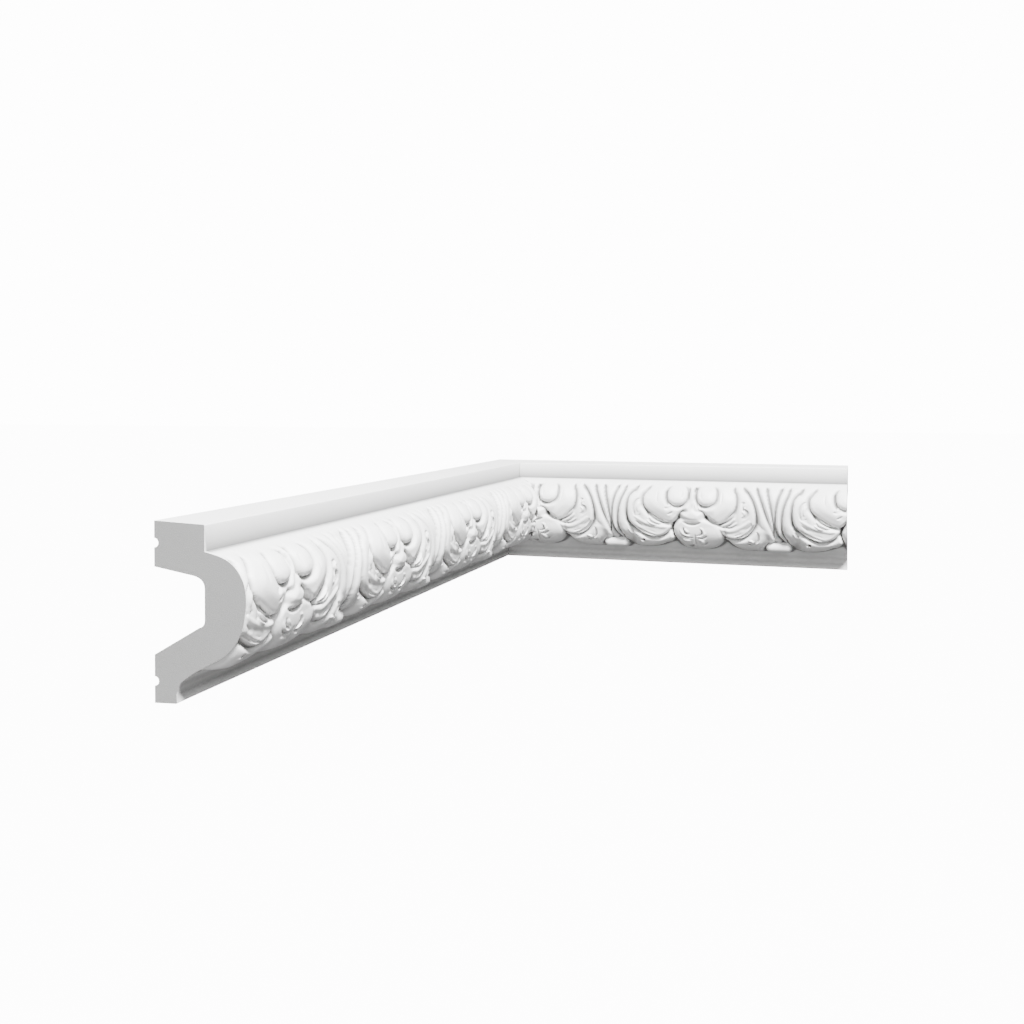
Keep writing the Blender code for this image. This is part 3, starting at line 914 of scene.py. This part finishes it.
def grain_and_painted_shade_group() -> bpy.types.NodeTree:
    """Make the grain of primed foam, with its painted crease shade, once, and give it back after that.

    Returns:
        The node group: a mottled colour darkened by painted shade in the seams, a varied roughness and a
            height.
    """
    known = bpy.data.node_groups.get("foam_grain_and_painted_shade")
    if known:
        return known
    group = bpy.data.node_groups.new("foam_grain_and_painted_shade", "ShaderNodeTree")
    face = group.interface
    face.new_socket("Colour", in_out="INPUT", socket_type="NodeSocketColor")
    for name in ("Roughness", "Scale", "Mottle", "Crease", "Painted Crease Shade"):
        face.new_socket(name, in_out="INPUT", socket_type="NodeSocketFloat")
    face.new_socket("Colour", in_out="OUTPUT", socket_type="NodeSocketColor")
    for name in ("Roughness", "Height"):
        face.new_socket(name, in_out="OUTPUT", socket_type="NodeSocketFloat")
    nodes, links = group.nodes, group.links
    given = nodes.new("NodeGroupInput")
    result = nodes.new("NodeGroupOutput")
    place = nodes.new("ShaderNodeTexCoord")
    fine = nodes.new("ShaderNodeTexNoise")
    fine.inputs["Detail"].default_value = GRAIN_DETAIL
    broad = nodes.new("ShaderNodeTexNoise")
    broad.inputs["Scale"].default_value = MOTTLE_SCALE
    broad.inputs["Detail"].default_value = MOTTLE_DETAIL
    links.new(place.outputs["Object"], fine.inputs["Vector"])
    links.new(place.outputs["Object"], broad.inputs["Vector"])
    links.new(given.outputs["Scale"], fine.inputs["Scale"])
    swing = add_math(group, "SUBTRACT", broad.outputs["Fac"], 0.5)
    mottled = add_math(group, "MULTIPLY_ADD", swing, given.outputs["Mottle"], 1.0)
    # Painted shade: the tone darkens in the seams by the crease mask times its share
    shade = add_math(group, "MULTIPLY", given.outputs["Crease"], given.outputs["Painted Crease Shade"])
    left = add_math(group, "SUBTRACT", 1.0, shade)
    tone = nodes.new("ShaderNodeVectorMath")
    tone.operation = "SCALE"
    links.new(given.outputs["Colour"], tone.inputs[0])
    links.new(add_math(group, "MULTIPLY", mottled, left), tone.inputs["Scale"])
    rough = add_math(group, "MULTIPLY_ADD", swing, ROUGHNESS_SWING, given.outputs["Roughness"])
    links.new(tone.outputs[0], result.inputs["Colour"])
    links.new(rough, result.inputs["Roughness"])
    links.new(fine.outputs["Fac"], result.inputs["Height"])
    return group


@dataclass
class MouldingLength:
    """One length of the moulding, cut square at one end and mitred at the corner."""

    name: str
    node: str
    wall: Wall
    run: float
    first_axis: float
    columns: int
    rows: int
    carving: Carving
    end_fade: float = 0.0
    sharp_angle: float = radians(38)

    def place(self, along: float, out: float, up: float) -> Place:
        """Turn a place on the length into the shared frame.

        Args:
            along: How far it lies from the corner.
            out: How far out from the wall.
            up: Its height above the bottom.

        Returns:
            The place.
        """
        if self.wall is Wall.LEFT:
            return (CORNER[0] + out, CORNER[1] - along, CORNER[2] + up)
        return (CORNER[0] + along, CORNER[1] - out, CORNER[2] + up)

    def stations(self) -> tuple[Grid, Grid]:
        """Set out the places along the run, in step with the carving.

        Returns:
            The places, and where each lies in the carving's repeats.
        """
        step = REPEAT_RUN / self.columns
        first = int(np.ceil((-OVERRUN - self.first_axis) / step))
        last = int(np.floor((self.run - self.first_axis) / step))
        inner = self.first_axis + step * np.arange(first, last + 1)
        least = step / 3
        inner = inner[(inner + OVERRUN > least) & (inner < self.run - least)]
        places = np.concatenate([[-OVERRUN], inner, [self.run]])
        across = (places - self.first_axis) / HEIGHT
        return places, -across if self.wall is Wall.LEFT else across

    def repeated(self, unit: Grid, across: Grid) -> Grid:
        """Read a unit's values at each station of the run, which repeats it.

        Args:
            unit: The unit's values, one row a station of the unit.
            across: Where each station of the run lies in the repeats.

        Returns:
            The values, one row a station of the run.
        """
        share = (across + REPEAT / 2) / REPEAT % 1.0 * self.columns
        low = np.floor(share).astype(int)
        part = (share - low)[:, None]
        return unit[low % self.columns] * (1 - part) + unit[(low + 1) % self.columns] * part

    def relief(self, places: Grid, across: Grid, heights: Grid) -> tuple[Grid, Grid]:
        """Carve the face along the whole run.

        Args:
            places: Places of the stations.
            across: Where each lies in the carving's repeats.
            heights: Heights of the rows.

        Returns:
            The face's depths, and how far each point lies sunk, which is the mask for painted shade in the
            seams, one row a station.
        """
        unit = self.carving.unit(self.columns, heights)
        depths = self.repeated(unit, across)
        crease_shade_mask = self.repeated(self.carving.crease_shade_mask(unit), across)
        if self.end_fade:
            carved = short_of(places, self.run, self.end_fade)[:, None]
            depths = self.carving.section.front(heights) * (1 - carved) + depths * carved
            crease_shade_mask = crease_shade_mask * carved
        return depths, crease_shade_mask

    def faces(self, stations: int, rows: int, plain: int) -> list[list[int]]:
        """List the faces between the carved grid and the plain outlines of the two ends.

        Args:
            stations: Stations of the grid.
            rows: Points in each station.
            plain: Points of a plain outline.

        Returns:
            The faces as lists of points, the two sawn ends last.
        """
        near = stations * rows
        far = near + plain
        last = near - rows
        faces = []
        for start in range(0, last, rows):
            faces += [[i, i + 1, i + 1 + rows, i + rows] for i in range(start, start + rows - 1)]
        faces += [[near + i, near + i + 1, far + i + 1, far + i] for i in range(plain - 1)]
        faces.append([far - 1, *range(0, near, rows), far + plain - 1])
        faces.append([near, *range(rows - 1, near, rows), far])
        faces.append([*range(rows), *range(near, far)])
        faces.append([*range(last, near), *range(far, far + plain)])
        return faces

    def mesh(self) -> bpy.types.Mesh:
        """Build the length's closed mesh.

        Returns:
            The mesh, with its sawn faces on the second material slot.
        """
        section = self.carving.section
        places, across = self.stations()
        heights = section.relief_heights(self.rows)
        depths, crease_shade_mask = self.relief(places, across, heights)
        along, up = np.meshgrid(places, heights * HEIGHT, indexing="ij")
        points = np.stack(self.place(along, depths * HEIGHT, up), axis=-1).reshape(-1, 3).tolist()
        carved = len(points)
        plain = section.plain_outline()
        for end in (places[0], places[-1]):
            points += [self.place(end, x * HEIGHT, z * HEIGHT) for x, z in plain]
        faces = self.faces(len(places), len(heights), len(plain))
        data = bpy.data.meshes.new(self.name)
        data.from_pydata(points, [], faces)
        materials = np.full(len(faces), Side.FACE.value, np.int32)
        materials[-2:] = Side.SAWN.value
        data.polygons.foreach_set("material_index", materials)
        # The crease mask rides on the points, for the finish to paint shade into the seams
        sunk = np.zeros(len(points), np.float32)
        sunk[:carved] = crease_shade_mask.ravel()
        data.attributes.new("crease", "FLOAT", "POINT").data.foreach_set("value", sunk)
        return data

    def saw_mitre(self, data: bpy.types.Mesh) -> None:
        """Saw the corner end at 45 degrees, half a gap short of the joint, and close the cut.

        Args:
            data: The length's mesh, which runs past the corner.
        """
        mesh = bmesh.new()
        mesh.from_mesh(data)
        bmesh.ops.recalc_face_normals(mesh, faces=mesh.faces)
        start = Vector(self.place(0, 0, 0))
        normal = (Vector(self.place(0, 1, 0)) - Vector(self.place(1, 0, 0))).normalized()
        every = mesh.verts[:] + mesh.edges[:] + mesh.faces[:]
        point = start - normal * MITRE_GAP / 2
        bmesh.ops.bisect_plane(
            mesh, geom=every, dist=SAW_TOLERANCE, plane_co=point, plane_no=normal, clear_outer=True
        )
        rim = [edge for edge in mesh.edges if edge.is_boundary]
        for face in bmesh.ops.holes_fill(mesh, edges=rim, sides=0)["faces"]:
            face.material_index = Side.SAWN.value
        bmesh.ops.recalc_face_normals(mesh, faces=mesh.faces)
        mesh.to_mesh(data)
        mesh.free()

    def build(self, finishes: dict[Side, bpy.types.Material]) -> bpy.types.Object:
        """Build the length and stand it for its solid.

        Args:
            finishes: The finish for each side.

        Returns:
            The length's object.
        """
        data = self.mesh()
        for side in Side:
            data.materials.append(finishes[side])
        self.saw_mitre(data)
        data.shade_smooth()
        data.set_sharp_from_angle(angle=self.sharp_angle)
        piece = bpy.data.objects.new(self.name, data)
        bpy.context.scene.collection.objects.link(piece)
        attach(piece, "root")
        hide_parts(self.node)
        LOG.info("%s: %d faces", self.name, len(data.polygons))
        return piece


@dataclass(frozen=True)
class Studio:
    """A pale floor, soft light and the photograph's camera."""

    image: int = 1024
    focal_px: float = 1154.7
    optical_row: float = 413.0
    sensor: float = 36.0
    eye: Place = (3.7253, -11.6153, 1.6897)
    pitch: float = 0.0164
    yaw: float = 0.2999
    nearest: float = 0.01
    floor_drop: float = 0.9
    floor_size: float = 60.0
    floor_colour: tuple[float, float, float, float] = (0.09, 0.09, 0.09, 1.0)
    floor_roughness: float = 0.9
    floor_glow: float = 13.0
    aim: Place = (0.08, 0.05, -0.03)
    lights: tuple[tuple[str, Place, float, float], ...] = (
        ("key", (0.95, -1.15, 2.10), 0.6, 540.0),
        ("fill", (0.8, -2.0, 0.60), 0.8, 24.0),
    )
    room_side: Place = (1.2, -0.9, 1.3)
    dim_facing: float = -0.5
    bright_facing: float = 0.8
    dim_sky: float = 0.05
    bright_sky: float = 0.60
    backdrop: float = 14.0

    def add_floor(self) -> None:
        """Lay the floor well below the moulding."""
        mesh = bpy.data.meshes.new("floor")
        half = self.floor_size / 2
        corners = [(-half, -half), (half, -half), (half, half), (-half, half)]
        mesh.from_pydata([(x, y, -self.floor_drop) for x, y in corners], [], [(0, 1, 2, 3)])
        material = bpy.data.materials.new("floor")
        material.use_nodes = True
        tree = material.node_tree
        shader = tree.nodes["Principled BSDF"]
        shader.inputs["Base Color"].default_value = self.floor_colour
        shader.inputs["Roughness"].default_value = self.floor_roughness
        shader.inputs["Specular IOR Level"].default_value = 0.0
        shader.inputs["Emission Color"].default_value = WHITE
        path = tree.nodes.new("ShaderNodeLightPath")
        glow = add_math(tree, "MULTIPLY", path.outputs["Is Camera Ray"], self.floor_glow)
        tree.links.new(glow, shader.inputs["Emission Strength"])
        mesh.materials.append(material)
        floor = bpy.data.objects.new("floor", mesh)
        bpy.context.scene.collection.objects.link(floor)

    def add_light(self, name: str, place: Place, size: float, power: float) -> None:
        """Hang a square soft light that faces the moulding.

        Args:
            name: The light's name.
            place: Its centre.
            size: Its side.
            power: Its power in watts.
        """
        lamp = bpy.data.lights.new(name, "AREA")
        lamp.size = size
        lamp.energy = power
        holder = bpy.data.objects.new(name, lamp)
        holder.location = place
        holder.rotation_euler = (Vector(self.aim) - Vector(place)).to_track_quat("-Z", "Y").to_euler()
        bpy.context.scene.collection.objects.link(holder)

    def add_world(self) -> None:
        """Surround the moulding with pale light, dimmer from the walls' side, and a plain backdrop."""
        world = bpy.data.worlds.new("studio")
        world.use_nodes = True
        nodes, links = world.node_tree.nodes, world.node_tree.links
        background = nodes["Background"]
        background.inputs["Color"].default_value = WHITE
        place = nodes.new("ShaderNodeTexCoord")
        facing = nodes.new("ShaderNodeVectorMath")
        facing.operation = "DOT_PRODUCT"
        facing.inputs[1].default_value = Vector(self.room_side).normalized()
        links.new(place.outputs["Generated"], facing.inputs[0])
        spread = nodes.new("ShaderNodeMapRange")
        spread.inputs["From Min"].default_value = self.dim_facing
        spread.inputs["From Max"].default_value = self.bright_facing
        spread.inputs["To Min"].default_value = self.dim_sky
        spread.inputs["To Max"].default_value = self.bright_sky
        links.new(facing.outputs["Value"], spread.inputs["Value"])
        path = nodes.new("ShaderNodeLightPath")
        seen = nodes.new("ShaderNodeMix")
        seen.inputs["B"].default_value = self.backdrop
        links.new(path.outputs["Is Camera Ray"], seen.inputs["Factor"])
        links.new(spread.outputs["Result"], seen.inputs["A"])
        links.new(seen.outputs["Result"], background.inputs["Strength"])
        bpy.context.scene.world = world

    def add_camera(self) -> None:
        """Stand the camera where the photograph was taken from."""
        camera = bpy.data.cameras.new("camera")
        camera.sensor_width = self.sensor
        camera.lens = self.focal_px / self.image * self.sensor
        camera.shift_y = (self.optical_row - self.image / 2) / self.image
        camera.clip_start = self.nearest
        holder = bpy.data.objects.new("camera", camera)
        holder.location = [corner + part * HEIGHT for corner, part in zip(CORNER, self.eye)]
        holder.rotation_euler = (pi / 2 - self.pitch, 0, self.yaw)
        bpy.context.scene.collection.objects.link(holder)
        bpy.context.scene.camera = holder

    def build(self) -> None:
        """Set up the whole studio."""
        self.add_floor()
        self.add_world()
        for name, place, size, power in self.lights:
            self.add_light(name, place, size, power)
        self.add_camera()


def main() -> None:
    """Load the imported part, dress its two lengths and set up the studio."""
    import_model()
    finishes = {
        # The face finish paints shade into its seams, down to a quarter of its tone where the crease mask is
        # full
        Side.FACE: PrimedFoam(
            "primed_face", (0.74, 0.74, 0.735), roughness=0.52, grain=0.10, grain_scale=1400.0, mottle=0.02,
            painted_crease_shade=0.75,
        ).make(),
        # The sawn ends' dark grey is painted shade: the cut foam is pale, and its colour is set low so the
        # end face looks shaded; its rougher grain is real
        Side.SAWN: PrimedFoam(
            "sawn_end_painted_shade", (0.19, 0.19, 0.188), roughness=0.70, grain=0.35, grain_scale=2600.0, mottle=0.04
        ).make(),
    }
    carving = Carving()
    MouldingLength(
        "carved_left_length", "left_length", Wall.LEFT, LEFT_RUN, LEFT_AXIS, columns=170, rows=150,
        carving=carving, end_fade=0.0025,
    ).build(finishes)
    MouldingLength(
        "carved_right_length", "right_length", Wall.RIGHT, RIGHT_RUN, RIGHT_AXIS, columns=200, rows=190,
        carving=carving,
    ).build(finishes)
    Studio().build()


if __name__ == "__main__":
    main()
